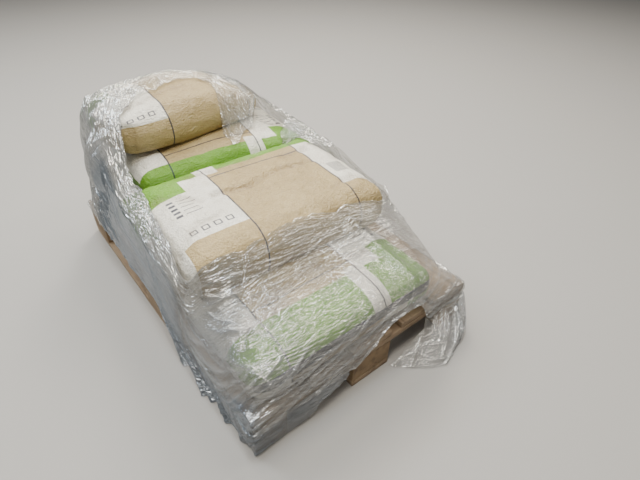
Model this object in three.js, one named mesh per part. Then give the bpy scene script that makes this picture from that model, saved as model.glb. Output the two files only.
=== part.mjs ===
// A part-used pallet of mortar sacks under torn stretch film.
// Six filled paper sacks lie on a four-way wooden pallet: three across the deck, two on those and
// one at the back on top. Stretch film is wound round the load, open over the upper sacks, pulled
// down to the floor at one corner of the pallet and hanging loose at the next.
// Millimetres, +Z up. The origin is the centre of the pallet's underside, X runs along its length.

import * as THREE from 'three';
import { ConvexHull } from 'three/addons/math/ConvexHull.js';
import { mergeVertices } from 'three/addons/utils/BufferGeometryUtils.js';

// Pallet, a 1200 x 800 flat pallet of soft wood
const palletLength = 1200;
const palletWidth = 800;
const boardThickness = 22;
const wideBoard = 145;
const narrowBoard = 100;
const blockLength = 145;
const blockHeight = 78;
const deckHeight = 3 * boardThickness + blockHeight;

// Filled 35 kg paper sack, the clearance between a sack and what it lies on, and the facets of one
const sackLength = 650;
const sackWidth = 415;
const sackThickness = 130;
const sackEdgeRadius = 52;
const restGap = 0.4;
const restReach = 24;
const sackCells = [14, 10, 3];

// Stretch film: each sheet is one skin as thick as a wad of its many wound layers. It is laid out
// in columns, each in one direction from a centre inside the load, and in rows from the top down.
const filmThickness = 1.2;
const filmGap = 1.6;
const filmCentre = new THREE.Vector3(-50, -30, 60);
const filmColumns = 92;
const filmTopRows = 9;
const filmEdgeRows = 2;
const filmSkirtRows = 4;
const filmSplitHeight = 100;
const filmSplitGap = 0.6;
const filmLeastSlant = 0.3;

const wood = new THREE.MeshStandardMaterial({ color: 0x9a7a55, roughness: 0.85, metalness: 0 });
const paper = new THREE.MeshStandardMaterial({ color: 0xcbbfa8, roughness: 0.8, metalness: 0 });
const film = new THREE.MeshStandardMaterial({
  color: 0xd6dadb, roughness: 0.2, metalness: 0, transparent: true, opacity: 0.35,
});

const group = new THREE.Group();

function addMesh(name, geometry, material) {
  const mesh = new THREE.Mesh(geometry, material.clone());
  mesh.name = name;
  group.add(mesh);
  return mesh;
}

function addBoard(name, size, place) {
  const board = addMesh(name, new THREE.BoxGeometry(...size), wood);
  board.position.set(...place);
}

// Rows of blocks and boards across the pallet's width: the outer ones are flush with its edges
const blockRows = [
  { side: 'left', y: -(palletWidth - narrowBoard) / 2, width: narrowBoard },
  { side: 'middle', y: 0, width: wideBoard },
  { side: 'right', y: (palletWidth - narrowBoard) / 2, width: narrowBoard },
];
const blockColumns = [
  { end: 'back', x: -(palletLength - blockLength) / 2 },
  { end: 'centre', x: 0 },
  { end: 'front', x: (palletLength - blockLength) / 2 },
];

function addPallet() {
  const blockMiddle = boardThickness + blockHeight / 2;
  const crossMiddle = boardThickness + blockHeight + boardThickness / 2;
  const deckMiddle = deckHeight - boardThickness / 2;
  for (const row of blockRows) {
    addBoard(
      `bottom_board_${row.side}`,
      [palletLength, row.width, boardThickness],
      [0, row.y, boardThickness / 2],
    );
    for (const column of blockColumns) {
      addBoard(
        `block_${column.end}_${row.side}`,
        [blockLength, row.width, blockHeight],
        [column.x, row.y, blockMiddle],
      );
    }
  }
  for (const column of blockColumns) {
    addBoard(
      `cross_board_${column.end}`,
      [wideBoard, palletWidth, boardThickness],
      [column.x, 0, crossMiddle],
    );
  }
  const outerY = (palletWidth - wideBoard) / 2;
  const deckBoards = [
    { name: 'deck_board_left', y: -outerY, width: wideBoard },
    { name: 'deck_board_left_inner', y: -outerY / 2, width: narrowBoard },
    { name: 'deck_board_middle', y: 0, width: wideBoard },
    { name: 'deck_board_right_inner', y: outerY / 2, width: narrowBoard },
    { name: 'deck_board_right', y: outerY, width: wideBoard },
  ];
  for (const board of deckBoards) {
    addBoard(board.name, [palletLength, board.width, boardThickness], [0, board.y, deckMiddle]);
  }
}

// Each sack lies across the pallet, on the layers below its own. x and y are its centre, base its
// underside, turn its angle in degrees from square, crown the swell of its upper face, pinch how
// far its corners draw in, endFall how much lower its upper face lies at its right-hand end.
const middleBase = deckHeight + 126;
const topBase = middleBase + 156;
const sacks = [
  { name: 'sack_lower_front', layer: 0, x: 387, y: -60, base: deckHeight, turn: 0, crown: 14 },
  { name: 'sack_lower_middle', layer: 0, x: -22, y: -62, base: deckHeight, turn: 0, width: 395, crown: 12 },
  { name: 'sack_lower_back', layer: 0, x: -420, y: -54, base: deckHeight, turn: 0, width: 392, crown: 14 },
  {
    name: 'sack_middle_front',
    layer: 1,
    x: 99,
    y: -33,
    base: middleBase,
    turn: -2,
    length: 672,
    width: 475,
    thickness: 148,
    crown: 12,
  },
  {
    name: 'sack_middle_back',
    layer: 1,
    x: -352,
    y: 30,
    base: middleBase,
    turn: -3,
    thickness: 138,
    crown: 28,
    endFall: 30,
  },
  {
    name: 'sack_top',
    layer: 2,
    x: -445,
    y: -40,
    base: topBase,
    turn: 5,
    length: 620,
    width: 388,
    thickness: 116,
    crown: 54,
    endFall: 44,
    pinch: 0.18,
  },
];

// The outline of a sack is a block with every edge rounded, seen from above at a distance beyond
// its flat part; this gives how far the upper face drops there, or nothing outside the outline.
function edgeDrop(beyondFlat) {
  if (beyondFlat > sackEdgeRadius) return undefined;
  return sackEdgeRadius - Math.sqrt(sackEdgeRadius ** 2 - beyondFlat ** 2);
}

function sackFrame(sack) {
  const length = sack.length ?? sackLength;
  const width = sack.width ?? sackWidth;
  const thickness = sack.thickness ?? sackThickness;
  const angle = THREE.MathUtils.degToRad(90 + sack.turn);
  return { length, width, thickness, cos: Math.cos(angle), sin: Math.sin(angle) };
}

// How far the upper face swells above the sack's thickness, or falls short of it
function swell(sack, frame, along, across) {
  const a = Math.min(1, Math.abs(along) / (frame.length / 2));
  const b = Math.min(1, Math.abs(across) / (frame.width / 2));
  const towardsRight = Math.max(0, along / (frame.length / 2));
  return sack.crown * (1 - a ** 2) * (1 - b ** 2) - (sack.endFall ?? 0) * towardsRight ** 1.5;
}

// Height of a sack's upper face over a point of the plan
function topOfSack(sack, x, y) {
  const frame = sackFrame(sack);
  const along = (x - sack.x) * frame.cos + (y - sack.y) * frame.sin;
  const across = -(x - sack.x) * frame.sin + (y - sack.y) * frame.cos;
  const beyondEnd = Math.max(0, Math.abs(along) - frame.length / 2 + sackEdgeRadius);
  const beyondSide = Math.max(0, Math.abs(across) - frame.width / 2 + sackEdgeRadius);
  const drop = edgeDrop(Math.hypot(beyondEnd, beyondSide));
  if (drop === undefined) return -Infinity;
  return sack.base + frame.thickness - drop + swell(sack, frame, along, across);
}

function topOfPile(layers, x, y) {
  return Math.max(deckHeight, ...layers.map((sack) => topOfSack(sack, x, y)));
}

// A sack's underside is stiff, so it keeps clear of the highest point within a short reach
function restingHeight(layers, x, y) {
  const steps = [-1, -0.5, 0, 0.5, 1].map((share) => share * restReach);
  return Math.max(...steps.flatMap((dx) => steps.map((dy) => topOfPile(layers, x + dx, y + dy)))) + restGap;
}

// Spreads evenly spaced steps so that more of them fall near both ends
function towardsEnds(step) {
  return Math.sign(step) * (1 - (1 - Math.abs(step)) ** 1.5);
}

// A sack is a block with rounded edges and a swollen upper face, whose underside settles onto
// whatever lies below it.
function makeSack(sack, below) {
  const frame = sackFrame(sack);
  const half = new THREE.Vector3(frame.length, frame.width, frame.thickness).multiplyScalar(0.5);
  const flat = half.clone().subScalar(sackEdgeRadius);
  let geometry = new THREE.BoxGeometry(2, 2, 2, ...sackCells);
  geometry.deleteAttribute('normal');
  geometry.deleteAttribute('uv');
  geometry = mergeVertices(geometry);
  const positions = geometry.attributes.position;
  const point = new THREE.Vector3();
  for (let index = 0; index < positions.count; index += 1) {
    point.fromBufferAttribute(positions, index);
    point.set(towardsEnds(point.x), towardsEnds(point.y), point.z).multiply(half);
    const pinch = (sack.pinch ?? 0) * ((point.x * point.y) / (half.x * half.y)) ** 2;
    const inner = point.clone().clamp(flat.clone().negate(), flat);
    const outward = point.clone().sub(inner).setLength(sackEdgeRadius);
    point.copy(inner).add(outward);
    point.x *= 1 - pinch;
    point.y *= 1 - pinch;
    if (point.z > 0) {
      const share = point.z / half.z;
      point.z += share * swell(sack, frame, point.x, point.y);
    }
    const x = sack.x + point.x * frame.cos - point.y * frame.sin;
    const y = sack.y + point.x * frame.sin + point.y * frame.cos;
    const lowest = restingHeight(below, x, y);
    const z = Math.max(sack.base + half.z + point.z, lowest);
    positions.setXYZ(index, x, y, z);
  }
  geometry.computeVertexNormals();
  return geometry;
}

function sackPoints(names, keep = () => true) {
  const points = [];
  for (const name of names) {
    const positions = group.getObjectByName(name).geometry.attributes.position;
    for (let index = 0; index < positions.count; index += 1) {
      const point = new THREE.Vector3().fromBufferAttribute(positions, index);
      if (keep(point)) points.push(point);
    }
  }
  return points;
}

// Corners of the pallet's outline between two stations along its length, at one height
function outline(fromX, toX, z) {
  const half = palletWidth / 2;
  return [fromX, toX].flatMap((x) => [-half, half].map((y) => new THREE.Vector3(x, y, z)));
}

// The film is taut, so each band of it is the convex skin of what it is wound round: the pallet
// with the lower sacks, the middle sacks, the top sack, and the slanting fold that runs from the
// end of the front middle sack down to the pallet's free corner. The two upper bands reach less
// far along the pallet at the deck than at the floor, where its length holds them out.
const middleBandReach = { floor: 450, deck: 330 };
const topBandReach = { floor: 300, deck: -200 };
const slantingFoldFrom = 150;

// Ridge of the loose rim that the torn film leaves standing beyond the right-hand sack ends
const standingRim = [[-350, 340, 446], [-180, 326, 450], [0, 312, 434]];

function filmBands() {
  const half = palletLength / 2;
  const bandPoints = [
    [
      ...outline(-half, half, 0),
      ...outline(-half, half, deckHeight),
      ...sackPoints(['sack_lower_front', 'sack_lower_middle', 'sack_lower_back']),
    ],
    [
      ...outline(-half, middleBandReach.floor, 0),
      ...outline(-half, middleBandReach.deck, deckHeight),
      ...sackPoints(['sack_middle_front', 'sack_middle_back']),
      ...standingRim.map((place) => new THREE.Vector3(...place)),
    ],
    [
      ...outline(-half, topBandReach.floor, 0),
      ...outline(-half, topBandReach.deck, deckHeight),
      ...sackPoints(['sack_middle_back', 'sack_top']),
    ],
    [
      ...outline(-half, half, 0),
      new THREE.Vector3(half, palletWidth / 2, deckHeight),
      ...sackPoints(['sack_lower_front', 'sack_middle_front'], (point) => point.y > slantingFoldFrom),
    ],
  ];
  return bandPoints.map((points) => new ConvexHull().setFromPoints(points));
}

// Plan of the torn opening over the upper sacks, going round anticlockwise from the front
const openingPlan = new THREE.CatmullRomCurve3(
  [
    [300, 10], [322, 150], [338, 262], [225, 296], [80, 306], [-70, 300], [-185, 284], [-275, 240],
    [-335, 165], [-380, 30], [-370, -100], [-350, -190], [-305, -255], [-245, -288], [-150, -305],
    [30, -330], [185, -355], [290, -366], [300, -260], [290, -130],
  ].map(([x, y]) => new THREE.Vector3(x, y, 0)),
  true,
);

// Plan distance from the film's centre to the opening's edge in one direction
function openingRadius(azimuth, edgePoints) {
  let best = edgePoints[0];
  let smallest = Infinity;
  for (const point of edgePoints) {
    const away = Math.atan2(point.y - filmCentre.y, point.x - filmCentre.x) - azimuth;
    const difference = Math.abs(Math.atan2(Math.sin(away), Math.cos(away)));
    if (difference < smallest) {
      smallest = difference;
      best = point;
    }
  }
  return Math.hypot(best.x - filmCentre.x, best.y - filmCentre.y);
}

// Piecewise straight line through pairs of station and value
function alongLine(stations, at) {
  if (at <= stations[0][0]) return stations[0][1];
  for (let index = 1; index < stations.length; index += 1) {
    const [from, start] = stations[index - 1];
    const [to, end] = stations[index];
    if (at <= to) return start + ((end - start) * (at - from)) / (to - from);
  }
  return stations[stations.length - 1][1];
}

// Height of the film's lower edge, by station along each side of the pallet
const hemLeft = [[-600, 132], [90, 112], [135, 90], [175, 40], [215, 2]];
const hemFront = [
  [-240, 2], [-175, 45], [-119, 63], [-20, 122], [50, 182], [104, 194], [178, 178], [205, 120], [232, 2],
];
const hemRight = [[400, 96], [450, 40], [510, 2]];
const hemBack = [[0, 96]];

// The loose fold at the free corner hangs from the wrap's lower edge and lies out on the floor
const foldTop = [[600, 212], [600, 290], [601, 370], [606, 398], [594, 410], [510, 402], [440, 400]];
const foldFloor = [[642, 100], [706, 178], [700, 262], [668, 335], [600, 412], [500, 424]];
const foldColumns = 15;
const foldRows = 5;
const foldBulge = 12;

// Where a ray from the film's centre leaves the pallet's outline, and the film's lower edge there
function palletEdge(azimuth) {
  const halfLength = palletLength / 2;
  const halfWidth = palletWidth / 2;
  const cos = Math.cos(azimuth);
  const sin = Math.sin(azimuth);
  const toEnd = ((cos > 0 ? halfLength : -halfLength) - filmCentre.x) / cos;
  const toSide = ((sin > 0 ? halfWidth : -halfWidth) - filmCentre.y) / sin;
  const radius = Math.min(toEnd, toSide);
  const x = filmCentre.x + radius * cos;
  const y = filmCentre.y + radius * sin;
  if (toSide < toEnd) {
    return { radius, hem: sin > 0 ? alongLine(hemRight, x) : alongLine(hemLeft, x) };
  }
  return { radius, hem: cos > 0 ? alongLine(hemFront, y) : alongLine(hemBack, y) };
}

// Directions of the film's columns: evenly spaced, with the nearest one moved to each corner of the
// pallet. cornerColumns are those four, anticlockwise from the back left corner.
function filmDirections() {
  const step = (2 * Math.PI) / filmColumns;
  const azimuths = Array.from({ length: filmColumns }, (_, index) => -Math.PI + (index + 0.5) * step);
  const cornerColumns = outline(-palletLength / 2, palletLength / 2, 0).map((corner) => {
    const azimuth = Math.atan2(corner.y - filmCentre.y, corner.x - filmCentre.x);
    const column = Math.round((azimuth + Math.PI) / step - 0.5);
    azimuths[column] = azimuth;
    return column;
  });
  cornerColumns.sort((one, other) => one - other);
  return { azimuths, cornerColumns };
}

// Distance from the film's centre to the outermost band, in one direction
function bandDistance(bands, direction) {
  const ray = new THREE.Ray(filmCentre, direction);
  const hit = new THREE.Vector3();
  return Math.max(...bands.map((band) => band.intersectRay(ray, hit).distanceTo(filmCentre)));
}

function directionOf(azimuth, elevation) {
  return new THREE.Vector3(
    Math.cos(elevation) * Math.cos(azimuth),
    Math.cos(elevation) * Math.sin(azimuth),
    Math.sin(elevation),
  );
}

// Elevation at which the bands lie at a given plan distance, found by halving the range above a
// lowest elevation
const halvings = 20;

function elevationAtRadius(bands, azimuth, lowest, radius) {
  let low = lowest;
  let high = Math.PI / 2;
  for (let step = 0; step < halvings; step += 1) {
    const middle = (low + high) / 2;
    const reach = bandDistance(bands, directionOf(azimuth, middle)) * Math.cos(middle);
    if (reach > radius) low = middle;
    else high = middle;
  }
  return (low + high) / 2;
}

// One column of the film over the load, from the opening's edge down to the deck's edge. Its rows
// are spread by length and by how much the film turns, so that more of them fall on its bends.
const profileSamples = 90;
const lengthPerRow = 500;
const bendPerRow = 1.5;
const leastWallHeight = 10;

function topColumn(bands, azimuth, openingPoints) {
  const edge = palletEdge(azimuth);
  const lowest = Math.atan2(Math.max(deckHeight, edge.hem + leastWallHeight) - filmCentre.z, edge.radius);
  const highest = elevationAtRadius(bands, azimuth, lowest, openingRadius(azimuth, openingPoints));
  const points = Array.from({ length: profileSamples + 1 }, (_, index) => {
    const elevation = highest + ((lowest - highest) * index) / profileSamples;
    const direction = directionOf(azimuth, elevation);
    return direction.multiplyScalar(bandDistance(bands, direction)).add(filmCentre);
  });
  const weights = points.map((point, index) => {
    if (index === 0) return 0;
    const step = point.clone().sub(points[index - 1]);
    const next = index < profileSamples ? points[index + 1].clone().sub(point) : step;
    return step.length() / lengthPerRow + step.angleTo(next) / bendPerRow;
  });
  const total = weights.reduce((sum, weight) => sum + weight, 0);
  const rows = [points[0]];
  let passed = 0;
  for (let index = 1; index < profileSamples; index += 1) {
    passed += weights[index];
    if (passed >= (total * rows.length) / (filmTopRows - 1)) rows.push(points[index]);
  }
  rows.length = Math.min(rows.length, filmTopRows - 1);
  while (rows.length < filmTopRows) rows.push(points[profileSamples]);
  return rows;
}

// Distance from the film's centre at which a straight line between two others passes a point
function chordReach(point, one, other) {
  const [here, from, to] = [point, one, other].map((place) => place.clone().sub(filmCentre));
  const toOne = here.angleTo(from);
  const toOther = here.angleTo(to);
  const slack = Math.sin(toOther) / from.length() + Math.sin(toOne) / to.length();
  return slack > 0 ? Math.sin(toOne + toOther) / slack : 0;
}

// A taut film bridges a hollow between two bands: each point moves out to the straight lines
// between its neighbours
const bridgeRounds = 3;

function bridge(grid) {
  for (let round = 0; round < bridgeRounds; round += 1) {
    const reaches = grid.map((points, column) => {
      const before = grid[(column + grid.length - 1) % grid.length];
      const after = grid[(column + 1) % grid.length];
      return points.map((point, row) => {
        if (row === 0 || row === points.length - 1) return 0;
        const upright = chordReach(point, points[row - 1], points[row + 1]);
        const around = chordReach(point, before[row], after[row]);
        return (upright + around) / 2;
      });
    });
    grid.forEach((points, column) => points.forEach((point, row) => {
      const offset = point.sub(filmCentre);
      offset.setLength(Math.max(offset.length(), reaches[column][row]));
      offset.add(filmCentre);
    }));
  }
}

// Points spread over a cell of the grid, and along both its diagonals, where it may fold
function cellSamples(a, b, c, d) {
  const shares = [0, 0.25, 0.5, 0.75, 1];
  const across = shares.flatMap((s) => shares.map((t) => (
    a.clone().lerp(b, s).lerp(c.clone().lerp(d, s), t)
  )));
  const diagonals = shares.flatMap((s) => [a.clone().lerp(d, s), b.clone().lerp(c, s)]);
  return [...across, ...diagonals];
}

// Moves the grid's points out until its flat cells no longer cut the bands between them
const liftRounds = 4;

function lift(grid, bands) {
  for (let round = 0; round < liftRounds; round += 1) {
    const shortfalls = grid.map((points) => points.map(() => 0));
    grid.forEach((points, column) => {
      const next = (column + 1) % grid.length;
      for (let row = 0; row < points.length - 1; row += 1) {
        const corners = [[column, row], [next, row], [column, row + 1], [next, row + 1]];
        for (const sample of cellSamples(...corners.map(([c, r]) => grid[c][r]))) {
          const offset = sample.sub(filmCentre);
          const missing = bandDistance(bands, offset.clone().normalize()) - offset.length();
          for (const [c, r] of corners) shortfalls[c][r] = Math.max(shortfalls[c][r], missing);
        }
      }
    });
    grid.forEach((points, column) => points.forEach((point, row) => {
      const offset = point.sub(filmCentre);
      offset.setLength(offset.length() + shortfalls[column][row]);
      offset.add(filmCentre);
    }));
  }
}

// The whole film as a grid of points, one column for each direction, from the opening down
const openingSamples = 360;

function filmGrid(azimuths) {
  const bands = filmBands();
  const openingPoints = openingPlan.getSpacedPoints(openingSamples);
  const grid = azimuths.map((azimuth) => topColumn(bands, azimuth, openingPoints));
  bridge(grid);
  lift(grid, bands);
  azimuths.forEach((azimuth, column) => {
    const points = grid[column];
    const edge = palletEdge(azimuth);
    const deckPoint = points[points.length - 1];
    const split = Math.max(filmSplitHeight, edge.hem);
    const lowest = Math.min(split - filmThickness, edge.hem);
    const heights = [
      ...Array.from({ length: filmEdgeRows }, (_, row) => (
        deckPoint.z + ((split - deckPoint.z) * (row + 1)) / filmEdgeRows
      )),
      ...Array.from({ length: filmSkirtRows }, (_, row) => (
        split + ((lowest - split) * (row + 1)) / filmSkirtRows
      )),
    ];
    for (const height of heights) {
      points.push(new THREE.Vector3(
        filmCentre.x + edge.radius * Math.cos(azimuth),
        filmCentre.y + edge.radius * Math.sin(azimuth),
        height,
      ));
    }
  });
  return grid;
}

// Outward normal of a grid at one point, from the steps to its neighbours
function gridNormal(grid, column, row) {
  const points = grid[column];
  const before = grid[Math.max(0, column - 1)][row];
  const after = grid[Math.min(grid.length - 1, column + 1)][row];
  const above = points[Math.max(0, row - 1)];
  const below = points[Math.min(points.length - 1, row + 1)];
  return after.clone().sub(before).cross(above.clone().sub(below)).normalize();
}

// A point of the grid moved outwards along its ray from the film's centre, by a distance that is
// measured square to the film. Two skins made so never cross.
function skinPoint(grid, column, row, offset) {
  const point = grid[column][row];
  const ray = point.clone().sub(filmCentre).normalize();
  const slant = Math.max(filmLeastSlant, ray.dot(gridNormal(grid, column, row)));
  return point.clone().addScaledVector(ray, offset / slant);
}

// Folds the cells of the inner skin along the same diagonals as those of the outer one
function foldAlike(geometry, isInner) {
  const index = geometry.index;
  const cornersPerCell = 6;
  for (let start = 0; start < index.count; start += cornersPerCell) {
    const [a, b, d] = [0, 1, 2].map((corner) => index.getX(start + corner));
    const c = index.getX(start + 4);
    if ([a, b, c, d].every(isInner)) {
      [a, b, c, a, c, d].forEach((corner, place) => index.setX(start + place, corner));
    }
  }
}

// A sheet of film over a whole grid: a flat box of the grid's cells, whose two faces are laid on
// the inner and the outer skin
function makeSheet(grid) {
  const columns = grid.length - 1;
  const rows = grid[0].length - 1;
  const geometry = new THREE.BoxGeometry(2, 2, 2, columns, rows, 1);
  const positions = geometry.attributes.position;
  foldAlike(geometry, (index) => positions.getZ(index) < 0);
  geometry.deleteAttribute('normal');
  geometry.deleteAttribute('uv');
  for (let index = 0; index < positions.count; index += 1) {
    const column = Math.round(((positions.getX(index) + 1) / 2) * columns);
    const row = Math.round(((1 - positions.getY(index)) / 2) * rows);
    const outside = positions.getZ(index) > 0;
    const point = skinPoint(grid, column, row, outside ? filmGap + filmThickness : filmGap);
    positions.setXYZ(index, point.x, point.y, point.z);
  }
  const sheet = mergeVertices(geometry);
  sheet.computeVertexNormals();
  return sheet;
}

// Part of the whole film's grid, between two columns and two rows, drawn back by half a gap along
// its ends, and by a gap along its top edge where it carries on below another sheet
function cutGrid(grid, fromColumn, toColumn, fromRow, toRow) {
  const count = (toColumn - fromColumn + grid.length) % grid.length + 1;
  const cut = Array.from({ length: count }, (_, index) => (
    grid[(fromColumn + index) % grid.length].slice(fromRow, toRow + 1).map((point) => point.clone())
  ));
  const drawBack = (end, inside) => end.forEach((point, row) => {
    const inwards = inside[row].clone().sub(point).setLength(filmSplitGap / 2);
    point.add(inwards);
  });
  drawBack(cut[0], cut[1]);
  drawBack(cut[count - 1], cut[count - 2]);
  if (fromRow > 0) {
    for (const points of cut) points[0].z -= filmSplitGap;
  }
  return cut;
}

// The film on each side of the load, from corner to corner of the pallet
function addWalls(grid, cornerColumns) {
  const lastRow = filmTopRows + filmEdgeRows - 1;
  ['left', 'front', 'right', 'back'].forEach((side, index) => {
    const next = cornerColumns[(index + 1) % cornerColumns.length];
    const wall = cutGrid(grid, cornerColumns[index], next, 0, lastRow);
    addMesh(`stretch_film_${side}`, makeSheet(wall), film);
  });
}

// The film at the wrapped corner runs on down to the floor
const leastSkirtDrop = 5;

function addSkirt(grid, azimuths) {
  const lastRow = filmTopRows + filmEdgeRows - 1;
  const columns = azimuths
    .map((azimuth, column) => ({ azimuth, column }))
    .filter(({ azimuth }) => azimuth > -Math.PI / 2 && azimuth < 0)
    .filter(({ column }) => grid[column].at(-1).z < filmSplitHeight - leastSkirtDrop)
    .map(({ column }) => column);
  const skirt = cutGrid(grid, columns[0], columns.at(-1), lastRow, lastRow + filmSkirtRows);
  addMesh('stretch_film_skirt', makeSheet(skirt), film);
}

function guideCurve(plan, height) {
  return new THREE.CatmullRomCurve3(plan.map(([x, y]) => new THREE.Vector3(x, y, height)));
}

// The loose fold: a sheet between its top line and its line on the floor, bulging between them
function addLooseFold() {
  const top = guideCurve(foldTop, filmSplitHeight - filmSplitGap).getSpacedPoints(foldColumns - 1);
  const floor = guideCurve(foldFloor, filmThickness).getSpacedPoints(foldColumns - 1);
  const fold = top.map((upper, column) => Array.from({ length: foldRows }, (_, row) => {
    const down = row / (foldRows - 1);
    const outward = upper.clone().sub(filmCentre).setZ(0).normalize();
    const bulge = filmThickness + foldBulge * Math.sin(Math.PI * down);
    return upper.clone().lerp(floor[column], down).addScaledVector(outward, bulge);
  }));
  addMesh('stretch_film_loose_fold', makeSheet(fold), film);
}

addPallet();
for (const sack of sacks) {
  const below = sacks.filter((other) => other.layer < sack.layer);
  addMesh(sack.name, makeSack(sack, below), paper);
}
const { azimuths, cornerColumns } = filmDirections();
const grid = filmGrid(azimuths);
addWalls(grid, cornerColumns);
addSkirt(grid, azimuths);
addLooseFold();

export default group;
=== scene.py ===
import math

import bpy
import numpy as np
from mathutils import Matrix, Vector, noise
from mathutils.bvhtree import BVHTree


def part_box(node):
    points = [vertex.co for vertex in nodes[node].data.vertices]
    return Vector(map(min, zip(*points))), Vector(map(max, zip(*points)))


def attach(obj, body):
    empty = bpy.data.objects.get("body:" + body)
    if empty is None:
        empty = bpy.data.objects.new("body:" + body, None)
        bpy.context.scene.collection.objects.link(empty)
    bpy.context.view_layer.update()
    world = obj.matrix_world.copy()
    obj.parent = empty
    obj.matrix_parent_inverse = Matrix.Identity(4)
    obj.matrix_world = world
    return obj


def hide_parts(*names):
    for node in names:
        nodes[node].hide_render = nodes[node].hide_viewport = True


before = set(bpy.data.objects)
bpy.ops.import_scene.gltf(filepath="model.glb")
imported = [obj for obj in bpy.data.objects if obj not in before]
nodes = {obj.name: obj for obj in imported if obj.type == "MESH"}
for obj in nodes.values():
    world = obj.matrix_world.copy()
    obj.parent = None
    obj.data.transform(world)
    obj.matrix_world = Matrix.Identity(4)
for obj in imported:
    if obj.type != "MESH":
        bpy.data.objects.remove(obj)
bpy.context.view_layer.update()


# Camera
# At eye height beside the pallet, looking down over its near corner with a short lens.
# Its place and turns, in degrees, were solved from the corners of the pallet in the photo.
camera_place = (1.158, -0.6577, 1.1799)
camera_heading = 50.78
camera_below_level = 38.459
camera_roll = 1.097
camera_data = bpy.data.cameras.new("camera")
camera_data.sensor_width = 36.0
camera_data.lens = 26.38
camera = bpy.data.objects.new("camera", camera_data)
bpy.context.scene.collection.objects.link(camera)
camera.matrix_world = (
    Matrix.Translation(camera_place)
    @ Matrix.Rotation(math.radians(camera_heading), 4, "Z")
    @ Matrix.Rotation(math.radians(90 - camera_below_level), 4, "X")
    @ Matrix.Rotation(math.radians(camera_roll), 4, "Z")
)
bpy.context.scene.camera = camera


# Floor and light
# A plain pale floor under rows of small lamps high up, whose many reflections make the film glitter.
# Three lamps have the colour of daylight: two at the left, and a small one right above the load.
floor_width = 40.0
floor_grey = (0.35, 0.34, 0.325, 1)


def new_material(name, roughness):
    """A new material, with its node tree and its shader."""
    material = bpy.data.materials.new(name)
    material.use_nodes = True
    shader = material.node_tree.nodes["Principled BSDF"]
    shader.inputs["Roughness"].default_value = roughness
    return material, material.node_tree, shader


bpy.ops.object.select_all(action="DESELECT")
bpy.ops.mesh.primitive_plane_add(size=floor_width, location=(0, 0, 0))
floor = bpy.context.object
floor.name = "floor"
floor_material, _, floor_shader = new_material("pale_floor", 0.75)
floor_shader.inputs["Base Color"].default_value = floor_grey
floor.data.materials.append(floor_material)

world = bpy.data.worlds.new("studio")
bpy.context.scene.world = world
world.use_nodes = True
world.node_tree.nodes["Background"].inputs["Color"].default_value = (0.95, 0.97, 1, 1)
world.node_tree.nodes["Background"].inputs["Strength"].default_value = 0.1

warm_light = (1, 0.94, 0.84)
daylight = (0.84, 0.93, 1)
lamps = [{"place": (-2.4, 1.9, 3.5), "size": 1.2, "power": 110, "colour": warm_light}]
for column in (-4.2, -2.9, -1.6, -0.3, 1.0):
    for row in (-1.6, -0.2, 1.2, 2.6, 4.0):
        lamps.append({"place": (column, row, 3.5), "size": 0.85, "power": 14.5, "colour": warm_light})
lamps += [
    {"place": (-2.6, -1.7, 3.3), "size": 1.0, "power": 60, "colour": daylight},
    {"place": (-4.4, -3.2, 1.7), "size": 0.9, "power": 40, "colour": daylight},
    {"place": (0.3, -0.15, 3.4), "size": 0.5, "power": 40, "colour": daylight},
    {"place": (1.1, -1.3, 3.6), "size": 1.0, "power": 56, "colour": warm_light},
    {"place": (2.7, -1.0, 2.3), "size": 1.3, "power": 14, "colour": warm_light},
]
for number, lamp in enumerate(lamps):
    light = bpy.data.lights.new(f"lamp_{number}", "AREA")
    light.shape = "DISK"
    light.size = lamp["size"]
    light.energy = lamp["power"]
    light.color = lamp["colour"]
    light_object = bpy.data.objects.new(light.name, light)
    light_object.location = lamp["place"]
    towards_load = Vector((0, 0, 0.3)) - light_object.location
    light_object.rotation_euler = towards_load.to_track_quat("-Z", "Y").to_euler()
    bpy.context.scene.collection.objects.link(light_object)


# Sawn boards and blocks of the pallet
# Softwood sawn rough on all faces, weathered grey-brown, with arrises worn round and small waves
# along the saw cuts. Each board is nailed, so its edges stay straight and its faces flat.
board_pale = (0.36, 0.262, 0.168)
board_dark = (0.17, 0.118, 0.073)
block_pale = (0.31, 0.215, 0.12)
block_dark = (0.13, 0.085, 0.048)
arris_radius = 0.0025
saw_cut_length = 0.07
saw_wander = 0.0008


def add_node(tree, kind, **settings):
    """A new shader node, with each setting on its socket or else on the node itself."""
    node = tree.nodes.new(kind)
    for key, value in settings.items():
        if isinstance(value, (int, float, tuple)) and key in node.inputs:
            node.inputs[key].default_value = value
        else:
            setattr(node, key, value)
    return node


def noise_texture(tree, place, scale, detail=2.0, roughness=0.5, distortion=0.0):
    """Noise over the given coordinates, as a value round 0.5."""
    pattern = add_node(
        tree, "ShaderNodeTexNoise", Scale=scale, Detail=detail, Roughness=roughness, Distortion=distortion
    )
    tree.links.new(place, pattern.inputs["Vector"])
    return pattern.outputs["Fac"]


def stretched(tree, place, scale, turn=0):
    """The same coordinates, stretched and turned by so many degrees."""
    mapping = add_node(tree, "ShaderNodeMapping", Rotation=(0, 0, math.radians(turn)), Scale=scale)
    tree.links.new(place, mapping.inputs["Vector"])
    return mapping.outputs[0]


def tone_of(tree, value, stops):
    """The colour of a value, from stops that are each a value with its colour."""
    ramp = tree.nodes.new("ShaderNodeValToRGB")
    elements = ramp.color_ramp.elements
    while len(elements) < len(stops):
        elements.new(0.5)
    for element, (stop, colour) in zip(elements, stops):
        element.position = stop
        element.color = (*colour, 1)
    tree.links.new(value, ramp.inputs["Fac"])
    return ramp.outputs["Color"]


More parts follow.
